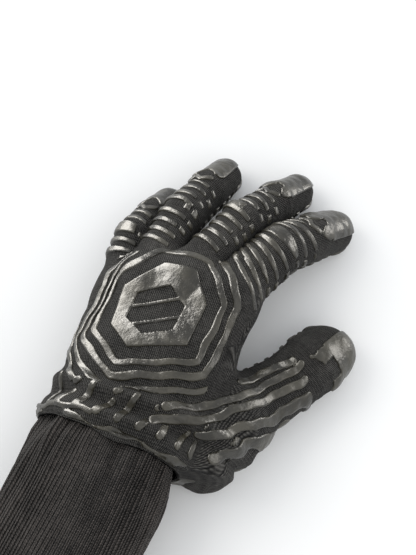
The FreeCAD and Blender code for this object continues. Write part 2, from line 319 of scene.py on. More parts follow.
def waves(points, length, seed, stretch=(1.0, 1.0, 1.0)):
    """Smooth irregular waves from -1 to 1 with about that wavelength."""
    chance = np.random.default_rng(seed)
    total = np.zeros(len(points))
    for _ in range(9):
        way = unit(chance.normal(size=3)) * stretch
        pitch = 2 * math.pi / (length * chance.uniform(0.7, 1.5))
        total += np.sin(points @ way * pitch + chance.uniform(0, 2 * math.pi))
    return total / 4.0


# ---- places on the hand

# Sections of the palm: distance from the wrist, middle, height, half width and half thickness.
PALM_SECTIONS = np.array([(-8.0, 0.0, 31.5, 42.0, 32.0), (14.0, 4.5, 31.0, 41.0, 27.0),
                          (45.0, 8.0, 33.5, 42.0, 20.5), (76.0, 8.0, 37.0, 42.5, 18.0),
                          (104.0, 8.5, 36.0, 38.0, 13.0)])
PALM_ROLL = math.radians(8.5)


class Places:
    """Coordinates of points on the hand: across and along the palm, and on their own stall."""

    def __init__(self, points):
        self.points = points
        local = points - np.array([wrist[0], wrist[1], 0.0])
        self.along = local[:, 1]
        starts, *sizes = PALM_SECTIONS.T
        side, rise, wide, high = (np.interp(self.along, starts, part) for part in sizes)
        aside, above = local[:, 0] - side, local[:, 2] - rise
        cos, sin = math.cos(PALM_ROLL), math.sin(PALM_ROLL)
        turned = aside * cos - above * sin + high * sin
        lifted = above * cos + aside * sin
        angle = np.arctan2(turned / wide, lifted / high)
        flat = np.arcsin(np.clip(turned / (wide * 1.04), -1, 1))
        edge = smooth_step(0.75, 1.25, np.abs(angle))
        angle = np.where(lifted > 0, angle * edge + flat * (1 - edge), angle)
        self.across = side + np.sign(angle) * self.arc(np.abs(angle), high / wide) * wide
        self.on_back = lifted > 0
        found = np.array([stall.locate(points) for stall in stalls.values()])
        gaps, runs = found[:, 0], found[:, 1]
        self.owner = np.argmin(gaps + 6.0 * (runs < 0.5), axis=0)
        _, self.run, self.angle, self.radius = found[self.owner, :, np.arange(len(points))].T
        self.aside = self.angle * self.radius
        self.ahead = np.zeros(len(points))
        for number, stall in enumerate(stalls.values()):
            mine = self.owner == number
            self.ahead[mine] = (points[mine] - stall.points[1]) @ stall.way

    @staticmethod
    def arc(angle, ratio):
        """Arc length on an ellipse of half width 1, from its top, by table."""
        turns = np.linspace(0, math.pi, 91)
        ratios = np.linspace(0.2, 0.9, 15)
        speed = np.sqrt(np.cos(turns)[None] ** 2 + (ratios[:, None] * np.sin(turns)[None]) ** 2)
        steps = (speed[:, 1:] + speed[:, :-1]) / 2 * (turns[1] - turns[0])
        table = np.concatenate([np.zeros((len(ratios), 1)), np.cumsum(steps, 1)], 1)
        column = np.clip(angle / (turns[1] - turns[0]), 0, 89.999)
        row = np.clip((ratio - 0.2) / (ratios[1] - ratios[0]), 0, 13.999)
        left, low = column.astype(int), row.astype(int)
        over, up = column - left, row - low
        near = table[low, left] * (1 - over) + table[low, left + 1] * over
        far = table[low + 1, left] * (1 - over) + table[low + 1, left + 1] * over
        return near * (1 - up) + far * up


# Where each stall's cloth starts to turn with its hinges, in millimetres past the hinge: start and
# end of the turn at the root, the parting of its two pieces, start and end at the joint.
TURNS = {
    "index": (2.0, 13.0, 14.5, -8.0, 8.0),
    "middle": (3.0, 14.0, 15.5, -8.0, 8.0),
    "ring": (2.0, 13.0, 14.0, -7.0, 8.0),
    "little": (3.5, 9.5, 10.3, -1.6, 7.0),
    "thumb": (5.0, 16.0, 17.5, -8.0, 8.0),
}
# The palm's part ends here, on the stalls' lines behind their roots.
PALM_END = -5.0
# The hand's parts by number: the palm, then the root and the tip part of each stall.
PART_NAMES = ["palm"] + [name + end for name in stalls for end in ("_root", "_tip")]


def part_numbers(places):
    """The number of the part that holds each point."""
    parting = np.array([TURNS[name][2] for name in stalls])[places.owner]
    number = 1 + 2 * places.owner + (places.ahead > parting)
    return np.where((places.ahead > PALM_END) & (places.run > 1.0), number, 0)


def set_motion(obj, number):
    """Ties a palm piece to the palm body; any other piece only has its transform baked into its
    points.
    """
    if number == 0:
        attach(obj, "palm")
        return
    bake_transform(obj)


# ---- meshes

def place_object(name, data):
    """A new object in the scene."""
    obj = bpy.data.objects.new(name, data)
    bpy.context.scene.collection.objects.link(obj)
    return obj


def make_object(name, points, faces, material, fields, normals=None):
    """A mesh object from points in millimetres. fields holds named vectors at each point."""
    mesh = bpy.data.meshes.new(name)
    mesh.from_pydata((points * MM).tolist(), [], faces)
    mesh.materials.append(material)
    mesh.polygons.foreach_set("use_smooth", [True] * len(mesh.polygons))
    for key, values in fields.items():
        attribute = mesh.attributes.new(key, "FLOAT_VECTOR", "POINT")
        attribute.data.foreach_set("vector", values.astype(np.float32).ravel())
    mesh.update()
    if normals is not None:
        mesh.normals_split_custom_set_from_vertices(normals.tolist())
    return place_object(name, mesh)


def border_of(faces):
    """The directed edges that only one face has."""
    edges = np.concatenate([faces[:, [corner, (corner + 1) % faces.shape[1]]]
                            for corner in range(faces.shape[1])])
    ordered = np.sort(edges, axis=1)
    _, where, counts = np.unique(ordered, axis=0, return_index=True, return_counts=True)
    return edges[where[counts == 1]]


def compact(faces, *arrays):
    """Faces renumbered to the points they use, and those rows of each array."""
    used, numbers = np.unique(faces, return_inverse=True)
    return (numbers.reshape(faces.shape), *[array[used] for array in arrays])


def shell(upper, lower, faces, normals):
    """A closed skin: the upper faces, the same faces turned over below, and the rims between."""
    count = len(upper)
    edges = border_of(faces)
    rims = np.stack([edges[:, 1], edges[:, 0], edges[:, 0] + count, edges[:, 1] + count], 1)
    closed = faces.tolist() + (faces[:, ::-1] + count).tolist() + rims.tolist()
    return np.concatenate([upper, lower]), closed, np.concatenate([normals, -normals])


LEVEL_GAP = 1e-3


def split_at(points, faces, normals, field, parts, level):
    """Cuts triangles along a level of the field, so that none crosses it. parts is per face."""
    field = np.where(np.abs(field - level) < LEVEL_GAP, level + LEVEL_GAP, field)
    above = field[faces] > level
    count = above.sum(1)
    cut = (count == 1) | (count == 2)
    whole, crossed, flags = faces[~cut], faces[cut], above[cut]
    if len(crossed) == 0:
        return points, faces, normals, field, parts
    lone = np.where((flags.sum(1) == 1)[:, None], flags, ~flags).argmax(1)
    rows = np.arange(len(crossed))
    tip, left, right = (crossed[rows, (lone + step) % 3] for step in range(3))
    pairs = np.concatenate([np.stack([tip, left], 1), np.stack([tip, right], 1)])
    keys, numbers = np.unique(np.sort(pairs, axis=1), axis=0, return_inverse=True)
    numbers = numbers.reshape(-1)
    first, second = field[keys[:, 0]], field[keys[:, 1]]
    share = ((level - first) / (second - first))[:, None]
    base = len(points)
    places, leans = (array[keys[:, 0]] * (1 - share) + array[keys[:, 1]] * share
                     for array in (points, normals))
    points = np.concatenate([points, places])
    normals = np.concatenate([normals, leans / np.linalg.norm(leans, axis=1)[:, None]])
    field = np.concatenate([field, np.full(len(keys), level)])
    on_left, on_right = base + numbers[:len(rows)], base + numbers[len(rows):]
    faces = np.concatenate([whole, np.stack([tip, on_left, on_right], 1),
                            np.stack([on_left, left, right], 1),
                            np.stack([on_left, right, on_right], 1)])
    parts = np.concatenate([parts[~cut], parts[cut], parts[cut], parts[cut]])
    return points, faces, normals, field, parts


# ---- printed pattern

# Depth given to places without print.
OFF = -1.0
# Corners of the pad on the back of the hand and of its window: across and along the palm.
PAD = [(-14.5, 77.0), (-14.5, 53.5), (-3.5, 44.0), (23.5, 53.0), (26.5, 76.5), (16.5, 93.5),
       (0.0, 94.0)]
WINDOW = [(-7.0, 74.0), (-8.0, 60.0), (1.5, 52.5), (14.5, 59.0), (16.5, 73.0), (6.5, 82.0)]
# Width of the window's bare rim, places and half width of the slanted bars in it.
WINDOW_EDGE = 1.0
BAR_PLACES = (53.0, 63.0)
BAR_HALF = 1.0
# The rings round the pad: distances from its outline and half width.
RING_OFFSETS = (8.0, 14.8, 22.0, 29.2)
RING_HALF = 1.95


def stroke_gap(aside, ahead, line):
    """Distance to a line from the origin, and the share of it at the nearest place."""
    share = np.clip((aside * line[0] + ahead * line[1]) / (line @ line), 0, 1)
    return np.hypot(aside - share * line[0], ahead - share * line[1]), share


def polygon_inside(across, along, corners, sharp=False):
    """Depth inside a convex polygon; negative outside, with round or sharp corners there."""
    corners = np.array(corners)
    after = np.roll(corners, -1, axis=0)
    area = (corners[:, 0] * after[:, 1] - after[:, 0] * corners[:, 1]).sum()
    depth, gap = np.full((2, len(across)), FAR)
    for corner, line in zip(corners, after - corners):
        normal = np.array([-line[1], line[0]]) / np.linalg.norm(line) * np.sign(area)
        aside, ahead = across - corner[0], along - corner[1]
        depth = np.minimum(depth, aside * normal[0] + ahead * normal[1])
        gap = np.minimum(gap, stroke_gap(aside, ahead, line)[0])
    return np.where((depth > 0) | sharp, depth, -gap)


def band(value, middle, half):
    """Depth inside a strip."""
    return half - np.abs(value - middle)


def capsule(across, along, start, end, half, taper=1.0):
    """Depth inside a round-ended stroke, tapering towards its end."""
    gap, share = stroke_gap(across - start[0], along - start[1], np.subtract(end, start))
    return half * (1 + (taper - 1) * share) - gap


def rounded(first, second, corner):
    """The lower of two depths, with the corner that they make rounded."""
    first, second = np.minimum(first, corner), np.minimum(second, corner)
    return corner - np.hypot(corner - first, corner - second)


def path_depth(across, along, path, half):
    """Depth inside a bent stroke through several points."""
    depth = np.full(len(across), -FAR)
    for start, end in zip(path[:-1], path[1:]):
        depth = np.maximum(depth, capsule(across, along, start, end, half))
    return depth


def back_pattern(places):
    """Print on the back of the palm: pad with a window, rings, wrist band and border."""
    across, along = places.across, places.along
    sway = 0.35 * np.sin(across / 3.1 + along / 5.3) + 0.25 * np.sin(along / 2.3 - across / 7.0)
    pad = polygon_inside(across, along, PAD)
    window = polygon_inside(across, along, WINDOW) + 0.4 * sway
    slant = 0.9 * along - 0.45 * across
    bars = np.maximum.reduce([band(slant, place, BAR_HALF) for place in BAR_PLACES])
    framed = np.maximum(-window, np.minimum(bars, window + WINDOW_EDGE))
    depth = np.where(window > -WINDOW_EDGE, framed, pad)
    depth = np.minimum(depth, pad + 0.3 * sway)
    mitred = -polygon_inside(across, along, PAD, sharp=True)
    gap = 0.65 * mitred - 0.35 * pad
    for number, offset in enumerate(RING_OFFSETS):
        if number == 0:
            shown = along < 105.0
        else:
            shown = (along < 98.0) | (across > 24.0)
            shown &= along < 106.0 if number == 1 else across < 40.0
        depth = np.maximum(depth, np.where(shown, band(gap + sway, offset, RING_HALF), OFF))
    depth = np.where(along < 23.5 + 0.10 * across, OFF, depth)
    depth = np.where(places.on_back, depth, OFF)
    return np.maximum.reduce([depth, wrist_marks(across, along), border_marks(places)])


# The band round the wrist: slanted bars, long and short by turns, with a dot after each pair.
BAND_START = -34.0
BAND_PITCH = 10.2
BAND_COUNT = 9
BAND_RISES = (14.5, 8.0)


def wrist_marks(across, along):
    """Slanted bars and dots in a band round the wrist."""
    depth = np.full(len(across), OFF)
    for number in range(BAND_COUNT):
        middle = BAND_START + BAND_PITCH * number
        low = 9.5 - 0.06 * (middle - BAND_START)
        high = low + BAND_RISES[number % 2]
        bar = capsule(across, along, (middle - 2.6, low), (middle + 2.6, high), 2.0, 0.75)
        depth = np.maximum(depth, bar)
        if number % 2:
            start, end = (middle + 2.8, low + 12.2), (middle + 4.4, low + 13.2)
            depth = np.maximum(depth, capsule(across, along, start, end, 1.6))
    return depth


def border_marks(places):
    """The wavy strip just over the hand's lower border, broken in places."""
    aside, above, over = cuff_places(places.points.T)
    turn = np.arctan2(aside, above) * 33.0
    line = 2.9 + 0.9 * np.sin(turn / 6.0) + 0.6 * np.sin(turn / 2.7 + 1.0)
    thick = 1.35 + 0.55 * np.sin(turn / 4.3)
    strip = np.minimum(band(over, line, thick), 8.0 * np.sin(turn / 13.0 + 0.9) + 6.5)
    high_line = line + 3.8 + 1.7 * np.sin(turn / 9.0 + 2.2)
    second = np.minimum(band(over, high_line, 1.4), -aside - 8.0 + 2.0 * np.sin(turn / 3.0))
    return np.maximum(strip, second)


# Pitch of the bars across a finger, length of each finger's printed tip, and the short wavy stroke
# before its pad.
BAR_PITCH = 6.5
PAD_LENGTHS = {"index": 38.0, "middle": 39.0, "ring": 35.0, "little": 32.0}
TIP_STROKE = [(-6.0, 1.5), (-1.5, 3.6), (2.0, 1.2), (7.0, 4.2)]


def stall_pattern(places, stall):
    """Print on one finger: bars across its back, dashes at their ends, a pad on the tip."""
    run = places.run - stall.root_run
    aside, radius = places.aside, places.radius
    pad_start = stall.reach - PAD_LENGTHS[stall.name]
    if stall.name == "index":
        fan = np.maximum(5.9 + 0.13 * aside, 3.5)
        count, pitch = (run + 5.6 + 0.65 * aside) / fan, fan * 0.88
        left, right = -1.15 * radius, 1.30 * radius
    else:
        count = (run + 0.12 * aside + 0.05 * aside * aside / radius) / BAR_PITCH
        pitch = BAR_PITCH
        left, right = -1.55 * radius, 0.95 * radius
    number = np.round(count)
    place = (count - number) * pitch
    right = right + 1.5 * np.sin(number * 2.3)
    slim = 1.7 - 0.035 * np.abs(aside)
    bar = np.minimum.reduce([slim - np.abs(place), right - aside, aside - left])
    dash = np.minimum(1.4 - np.abs(place), 2.3 - np.abs(aside - right - 4.2))
    shown = (number >= 0) & (run < pad_start - 1.0)
    bar = np.where(shown, bar, OFF)
    dash = np.where(shown & (number > 1), dash, OFF)
    wave = 2.2 * np.sin(aside / 3.0 + 0.6) + 1.2 * np.sin(aside / 1.7)
    pad = rounded(run - pad_start - 7.0 - wave, radius * 1.25 - np.abs(aside + 1.5), 7.0)
    stroke = path_depth(aside, run - pad_start, TIP_STROKE, 1.5)
    return np.maximum.reduce([bar, dash, pad, stroke])


# Strips from the palm's middle along the thumb, seen from above: (across, along) of the hand.
THUMB_LINES = [
    [(24.0, 20.5), (45.0, 31.0), (52.0, 35.5), (62.0, 47.0), (71.0, 57.5), (80.0, 69.0)],
    [(54.0, 49.5), (61.0, 55.5), (69.0, 64.5), (75.0, 70.5)],
    [(20.0, 13.0), (38.0, 19.0), (51.0, 27.0), (62.0, 38.0), (72.0, 48.0), (84.0, 62.5)],
    [(43.0, 13.5), (55.0, 19.0), (66.0, 29.0), (76.0, 39.5), (88.0, 56.0)],
    [(52.0, 6.0), (62.0, 14.0), (72.0, 24.5), (84.0, 41.0), (93.0, 53.0)],
]
# Half width of the strips, least upward part of the skin's normal that still carries them, and
# the short zigzag before the thumb's pad.
STRIP_HALF = 2.3
STRIP_LEAN = -0.25
ZIGZAG = [(-13.0, 2.0), (-9.5, 6.0), (-10.5, 10.0)]


def thumb_lines(places, upward):
    """Depth inside the strips that run along the thumb and its ball."""
    aside, ahead = (places.points[:, axis] - wrist[axis] for axis in (0, 1))
    sway = 0.7 * np.sin((aside + ahead) / 6.0) + 0.3 * np.sin((aside + ahead) / 2.6)
    depth = np.full(len(aside), OFF)
    for path in THUMB_LINES:
        strip = path_depth(aside + 0.7 * sway, ahead - 0.7 * sway, path, STRIP_HALF)
        depth = np.maximum(depth, strip)
    return np.where(upward > STRIP_LEAN, depth, OFF)


def thumb_pattern(places, stall):
    """Print on the thumb's tip: a pad with a wavy edge and a short zigzag."""
    run = places.run - stall.root_run
    aside = places.aside
    wave = 3.0 * np.cos((aside - 1.0) / 4.2)
    pad = rounded(run - (stall.reach - 25.0) - wave, 17.0 - np.abs(aside - 2.0), 8.0)
    return np.maximum(pad, path_depth(aside, run - (stall.reach - 30.0), ZIGZAG, 1.2))


# Pitch of the wavy grip bars on the palm side of the stalls and of the palm.
GRIP_PITCH = 6.7
PALM_GRIP_PITCH = 11.0


def grip_pattern(places, stall):
    """Grip print on the palm side of a stall: wavy bars across it and a pad on its tip."""
    run = places.run - stall.root_run
    aside = np.abs(places.aside)
    inside = aside - 2.15 * places.radius
    place = (run + 1.2 * np.sin(aside / 4.0)) % GRIP_PITCH - GRIP_PITCH / 2
    ends = np.minimum(stall.reach - 17.0 - run, run - 1.0)
    bars = np.minimum.reduce([1.6 - np.abs(place), inside, ends])
    return np.maximum(bars, rounded(run - (stall.reach - 15.0), inside, 5.0))


def palm_side_pattern(places):
    """Grip print on the palm side: bars across the palm."""
    across, along = places.across, places.along
    place = (along + 1.5 * np.sin(across / 9.0)) % PALM_GRIP_PITCH - PALM_GRIP_PITCH / 2
    bar = np.minimum(2.4 - np.abs(place), along - 10.0)
    return np.where(~places.on_back & (np.abs(across) > 62.0), bar, OFF)


def pattern(places, upward):
    """Depth inside the print at each point, in millimetres; negative off it."""
    numbers = part_numbers(places)
    lines = thumb_lines(places, upward)
    flat = np.where(lines > OFF, lines, back_pattern(places))
    flat = np.maximum(flat, palm_side_pattern(places))
    bars = stall_pattern(places, stalls["index"])
    near = (places.owner == list(stalls).index("index")) & (places.run > 0.5) & places.on_back
    flat = np.where(near & (bars > OFF) & (places.across > 27.0), bars, flat)
    depth = np.where(numbers == 0, flat, OFF)
    for number, stall in enumerate(stalls.values(), 1):
        if stall.name == "thumb":
            own = np.maximum(lines, thumb_pattern(places, stall))
        else:
            own = stall_pattern(places, stall)
        own = np.maximum(own, grip_pattern(places, stall))
        depth = np.where((numbers + 1) // 2 == number, own, depth)
    return depth


# ---- materials

def set_inputs(inputs, values):
    """Sets the inputs of a shader node by name."""
    for key, value in values.items():
        inputs[key].default_value = value


class Shader:
    """A node material built in code."""

    def __init__(self, name, roughness, specular, sheen=0.0, coat=0.0):
        self.material = bpy.data.materials.new(name)
        self.material.use_nodes = True
        self.tree = self.material.node_tree
        self.inputs = self.tree.nodes["Principled BSDF"].inputs
        set_inputs(self.inputs, {
            "Roughness": roughness, "Specular IOR Level": specular, "Sheen Weight": sheen,
            "Sheen Roughness": 0.45, "Coat Weight": coat, "Coat Roughness": 0.12})

    def link(self, source, socket):
        """Feeds a socket from a number, a colour or the output of another node."""
        if isinstance(source, (int, float, tuple)):
            socket.default_value = source
        else:
            self.tree.links.new(source, socket)

    def node(self, kind):
        return self.tree.nodes.new("ShaderNode" + kind)

    def math(self, operation, first, second=0.0, third=0.0):
        node = self.node("Math")
        node.operation = operation
        for value, socket in zip((first, second, third), node.inputs):
            self.link(value, socket)
        return node.outputs[0]

    def attribute(self, name):
        """The vector that the pieces hold under a name."""
        node = self.node("Attribute")
        node.attribute_name = name
        return node.outputs["Vector"]

    def field(self, name):
        """The three parts of a vector attribute."""
        split = self.node("SeparateXYZ")
        self.link(self.attribute(name), split.inputs[0])
        return split.outputs

    def noise(self, scale, detail, roughness):
        """Noise over the piece at rest, scale in cycles per metre."""
        node = self.node("TexNoise")
        set_inputs(node.inputs, {"Scale": scale, "Detail": detail, "Roughness": roughness})
        self.link(self.attribute("rest"), node.inputs["Vector"])
        return node.outputs["Fac"]

    def ramp(self, value, low, high, out_low=0.0, out_high=1.0):
        node = self.node("MapRange")
        node.interpolation_type = "SMOOTHSTEP"
        for socket, number in zip(node.inputs[1:5], (low, high, out_low, out_high)):
            socket.default_value = number
        self.link(value, node.inputs[0])
        return node.outputs[0]

    def mix(self, share, first, second):
        node = self.node("Mix")
        node.data_type = "RGBA"
        self.link(share, node.inputs[0])
        for socket, value in ((node.inputs[6], first), (node.inputs[7], second)):
            self.link(value + (1.0,) if isinstance(value, tuple) else value, socket)
        return node.outputs[2]

    def bump(self, height, distance, strength=1.0):
        node = self.node("Bump")
        set_inputs(node.inputs, {"Strength": strength, "Distance": distance})
        self.link(height, node.inputs["Height"])
        self.link(node.outputs[0], self.inputs["Normal"])

    def stitches(self, across, along, wale, course):
        """Height of a stocking stitch: two slanted legs in each wale, one pair to a course."""
        place = self.math("DIVIDE", across, wale)
        place = self.math("SUBTRACT", self.math("FRACT", place), 0.5)
        off = self.math("ABSOLUTE", place)
        leg = self.math("COSINE", self.math("MULTIPLY", self.math("SUBTRACT", off, 0.26), 10.5))
        phase = self.math("MULTIPLY_ADD", off, 1.3, self.math("DIVIDE", along, course))
        pinch = self.math("COSINE", self.math("MULTIPLY", phase, 2 * math.pi))
        pinch = self.math("MULTIPLY_ADD", pinch, 0.5, 0.5)
        body = self.math("MULTIPLY_ADD", leg, 0.5, 0.5)
        return self.math("MULTIPLY", body, self.math("MULTIPLY_ADD", pinch, 0.55, 0.45))


def knit_material(name, dark, light, wale, course, fields, sheen, bump):
    """Dark knitted yarn: slanted stitches, fuzz, painted shade that darkens the grooves and
    lightens the stitch tops, and irregular dye.
    """
    made = Shader(name, 0.86, 0.15, sheen=sheen)
    across, along, share = made.field(fields[0])
    height = made.stitches(across, along, wale, course)
    if len(fields) > 1:
        own_across, own_along, _ = made.field(fields[1])
        own = made.stitches(own_across, own_along, wale, course)
        height = made.math("MULTIPLY_ADD", made.math("SUBTRACT", own, height), share, height)
    fibre = made.noise(2600.0, 4.0, 0.7)
    blotch = made.noise(45.0, 3.0, 0.55)
    slub = made.noise(420.0, 2.0, 0.6)
    # The stitch height in the colour is painted shade: darker grooves between stitches, lighter
    # tops. Fibre, slub and blotch add the yarn's own uneven tone.
    groove_shade_and_tone = made.math("MULTIPLY_ADD", height, 0.66, made.math("MULTIPLY", fibre, 0.42))
    for noise, share in ((slub, 0.55), (blotch, 0.6)):
        groove_shade_and_tone = made.math("MULTIPLY_ADD", made.math("SUBTRACT", noise, 0.5), share, groove_shade_and_tone)
    # Mix from the dark yarn colour, reached in the painted groove shade, to the lighter yarn
    # colour on the stitch tops.
    colour = made.mix(made.ramp(groove_shade_and_tone, 0.25, 1.05), dark, light)
    made.link(colour, made.inputs["Base Color"])
    made.link(made.ramp(fibre, 0.3, 0.7, 0.78, 0.94), made.inputs["Roughness"])
    made.bump(made.math("MULTIPLY_ADD", fibre, 0.35, height), bump)
    return made.material


SILICONE_DARK = (0.0125, 0.0112, 0.0072)
SILICONE_LIGHT = (0.036, 0.0325, 0.0215)
# Beige mixed into the silicone in patches: partly dust, partly painted highlight.
DUST_AND_HIGHLIGHT = (0.21, 0.195, 0.165)


def silicone_material():
    """Moulded silicone print: dark, glossy, with pits, beige patches that are partly dust and
    partly painted highlight, and scuffs.
    """
    made = Shader("silicone", 0.28, 0.5, coat=0.12)
    blotch = made.noise(60.0, 4.0, 0.6)
    ripple = made.noise(260.0, 2.0, 0.5)
    grain = made.noise(900.0, 3.0, 0.6)
    dust_and_highlight = made.noise(240.0, 5.0, 0.7)
    colour = made.mix(made.ramp(blotch, 0.35, 0.68), SILICONE_DARK, SILICONE_LIGHT)
    # Beige patches, partly dust and partly painted highlight; they also roughen the surface below.
    colour = made.mix(made.ramp(dust_and_highlight, 0.60, 0.86, 0.0, 0.40), colour, DUST_AND_HIGHLIGHT)
    made.link(colour, made.inputs["Base Color"])
    rough = made.math("ADD", made.ramp(blotch, 0.3, 0.7, 0.26, 0.42),
                      made.ramp(dust_and_highlight, 0.5, 0.8, 0.0, 0.2))
    made.link(rough, made.inputs["Roughness"])
    relief = made.math("MULTIPLY_ADD", blotch, 0.8, made.math("MULTIPLY", grain, 0.18))
    relief = made.math("MULTIPLY_ADD", ripple, 0.45, relief)
    made.bump(relief, 0.0011, 0.85)
    return made.material


# Width and height of one stitch of the hand's knit.
WALE = 1.8
COURSE = 1.45

KNIT = knit_material("aramid_knit", (0.0026, 0.0026, 0.0027), (0.112, 0.108, 0.101),
                     WALE, COURSE, ("palm_knit", "stall_knit"), 0.05, 0.0011)
RIB = knit_material("cuff_rib", (0.0028, 0.0024, 0.0023), (0.125, 0.110, 0.102),
                    1.0, 1.0, ("rib_knit",), 0.07, 0.0011)
COTTON = knit_material("cotton", (0.32, 0.30, 0.26), (0.66, 0.63, 0.56),
                       1.3, 1.1, ("palm_knit", "stall_knit"), 0.2, 0.0004)
THREAD = knit_material("hem_thread", (0.012, 0.011, 0.011), (0.085, 0.078, 0.074),
                       0.6, 1.2, ("rib_knit",), 0.1, 0.0003)
SILICONE = silicone_material()


# ---- the hand

# Voxels of the knit and the liner, wall thicknesses, how far the liner lies under the knit's face
# and above its border, how loosely it follows the knit, and the knit's least height.
VOXEL = 0.8
COARSE_VOXEL = 1.6
KNIT_THICK = 1.6
LINER_THICK = 0.9
LINER_DEPTH = 2.3
LINER_SETBACK = 14.0
LINER_SLACK = 0.3
TABLE_GAP = 1.1
# The print: height, how deep inside its outline it is full, how far it sinks at the outline and
# reaches under the knit's face, the depths that get an edge loop, and its start over the border.
PRINT_HEIGHT = 0.95
PRINT_EDGE = 0.95
PRINT_SINK = 0.05
PRINT_ROOT = 0.35
PRINT_LEVELS = (0.0, 0.14, 0.4, 0.85)
PRINT_START = 0.6


def wrist_line(places):
    """Height of each point over the hand's wavy lower border."""
    aside, _, over = cuff_places(places.points.T)
    return over - 0.6 + 0.9 * np.sin(aside / 9.0 + 0.8) + 0.5 * np.sin(aside / 4.1)


def crumple(places):
    """How far each point is pushed out: folds over the wrist, soft dents, slack at the joints."""
    points = places.points
    _, _, over = cuff_places(points.T)
    near_wrist = smooth_step(40.0, 14.0, over) * smooth_step(0.0, 7.0, over)
    folds = 1.6 * waves(points, 16.0, 4, (0.40, 1.6, 0.6))
    folds = folds + 0.45 * waves(points, 9.5, 9, (0.7, 1.3, 0.6))
    ridge = 2.1 * np.sin((over - 4.0) * 0.42 + 1.3 * waves(points, 60.0, 12))
    slack = waves(points, 24.0, 2) * 0.45 + waves(points, 11.0, 5) * 0.18
    joints = np.array([stall.joint_run for stall in stalls.values()])[places.owner]
    bent = smooth_step(9.0, 2.0, np.abs(places.run - joints)) * (places.ahead > 0)
    crease = 0.4 * bent * np.sin(places.run / 1.5) * (np.cos(places.angle) > -0.2)
    return near_wrist * (folds + ridge) + slack * smooth_step(0.0, 6.0, over) + crease


def knit_fields(points, places):
    """Stitch coordinates of each point on the palm and on its stall, and which one holds."""
    share = smooth_step(-12.0, 4.0, places.ahead) * (places.run > 0.5)
    palm = np.stack([places.across, places.along, share], 1)
    stall = np.stack([places.aside, places.run, share], 1)
    return {"palm_knit": palm, "stall_knit": stall, "rest": points * MM}


def hand_skin(voxel, depth, border):
    """Points and triangles of the hand's surface, ending exactly on its border line."""
    points, quads = surface_of(voxel, depth)
    faces = np.concatenate([quads[:, [0, 1, 2]], quads[:, [0, 2, 3]]])
    level = wrist_line(Places(points)) - border
    near = (level[faces] > -2.0).all(1)
    faces, points, level = compact(faces[near], points, level)
    points, faces, _, level, _ = split_at(points, faces, normals_of(points, faces), level,
                                          np.zeros(len(faces)), 0.0)
    faces, points = compact(faces[level[faces].mean(1) > 0], points)
    return points, faces


def make_cloth(layer, points, faces, normals, places, thick, material):
    """One layer of cloth, in parts; the palm's part is tied to the palm body. Returns the part of
    each face.
    """
    numbers = part_numbers(places)
    counts = [(numbers[faces] == part).sum(1) for part in range(len(PART_NAMES))]
    parts = np.argmax(counts, axis=0)
    fields = knit_fields(points, places)
    for part, name in enumerate(PART_NAMES):
        own, near, outward, *rest = compact(faces[parts == part], points, normals,
                                            *fields.values())
        both, closed, shading = shell(near, near - outward * thick, own, outward)
        doubled = {key: np.concatenate([value, value]) for key, value in zip(fields, rest)}
        obj = make_object(layer + name, both, closed, material, doubled, shading)
        set_motion(obj, part)
    return parts


def make_print(points, faces, normals, places, parts):
    """Raised print: the pattern's outline is cut into the skin's triangles and domed."""
    field = np.where(wrist_line(places) < PRINT_START, OFF, pattern(places, normals[:, 2]))
    near = field[faces].max(1) > 0.9 * OFF
    faces, points, normals, field = compact(faces[near], points, normals, field)
    parts = parts[near]
    for level in PRINT_LEVELS:
        points, faces, normals, field, parts = split_at(
            points, faces, normals, field, parts, level)
    inside = field[faces].mean(1) > 0
    parts = parts[inside]
    faces, points, normals, field = compact(faces[inside], points, normals, field)
    depth = np.clip(field, 0, PRINT_EDGE) / PRINT_EDGE
    height = PRINT_HEIGHT * np.sqrt(1 - (1 - depth) ** 2) - PRINT_SINK
    uneven = 1 + 0.18 * waves(points, 7.0, 21)
    top = points + normals * (height * uneven)[:, None]
    bottom = points - normals * PRINT_ROOT
    shading = normals_of(top, faces)
    for part, name in enumerate(PART_NAMES):
        own, upper, lower, outward = compact(faces[parts == part], top, bottom, shading)
        both, closed, outward = shell(upper, lower, own, outward)
        fields = {"rest": both * MM}
        obj = make_object("print_" + name, both, closed, SILICONE, fields, outward)
        set_motion(obj, part)


def make_hand():
    """The knit and the print on it."""
    points, faces = hand_skin(VOXEL, 0.0, 0.0)
    places = Places(points)
    points = points + normals_of(points, faces) * crumple(places)[:, None]
    points[:, 2] = np.maximum(points[:, 2], TABLE_GAP)
    normals = normals_of(points, faces)
    parts = make_cloth("knit_", points, faces, normals, places, KNIT_THICK, KNIT)
    make_print(points, faces, normals, places, parts)


def make_liner():
    """The cotton liner, a little inside the knit; it follows the knit where that dents inwards."""
    points, faces = hand_skin(COARSE_VOXEL, LINER_DEPTH, LINER_SETBACK)
    normals = normals_of(points, faces)
    places = Places(points)
    points = points + normals * np.minimum(crumple(places) - LINER_SLACK, 0.0)[:, None]
    make_cloth("liner_", points, faces, normals, places, LINER_THICK, COTTON)


# ---- the cuff

# Ribs round the cuff, steps to a rib, and rows of points along it and along its hem.
RIBS = 112
RIB_STEPS = 8
CUFF_ROWS = 96
HEM_ROWS = 12
# Distance below the wrist, half width and half thickness of the cuff's sections; how far its
# middle bows aside, its least height over the table, and where it starts and ends its turn.
CUFF_SECTIONS = np.array([(-9.0, 32.0, 24.5), (-2.0, 34.5, 27.0), (10.0, 36.0, 29.5),
                          (30.0, 36.8, 31.0), (70.0, 38.0, 32.8), (131.0, 41.6, 36.2)])
CUFF_BOW = 1.6
CUFF_LIFT = 0.9


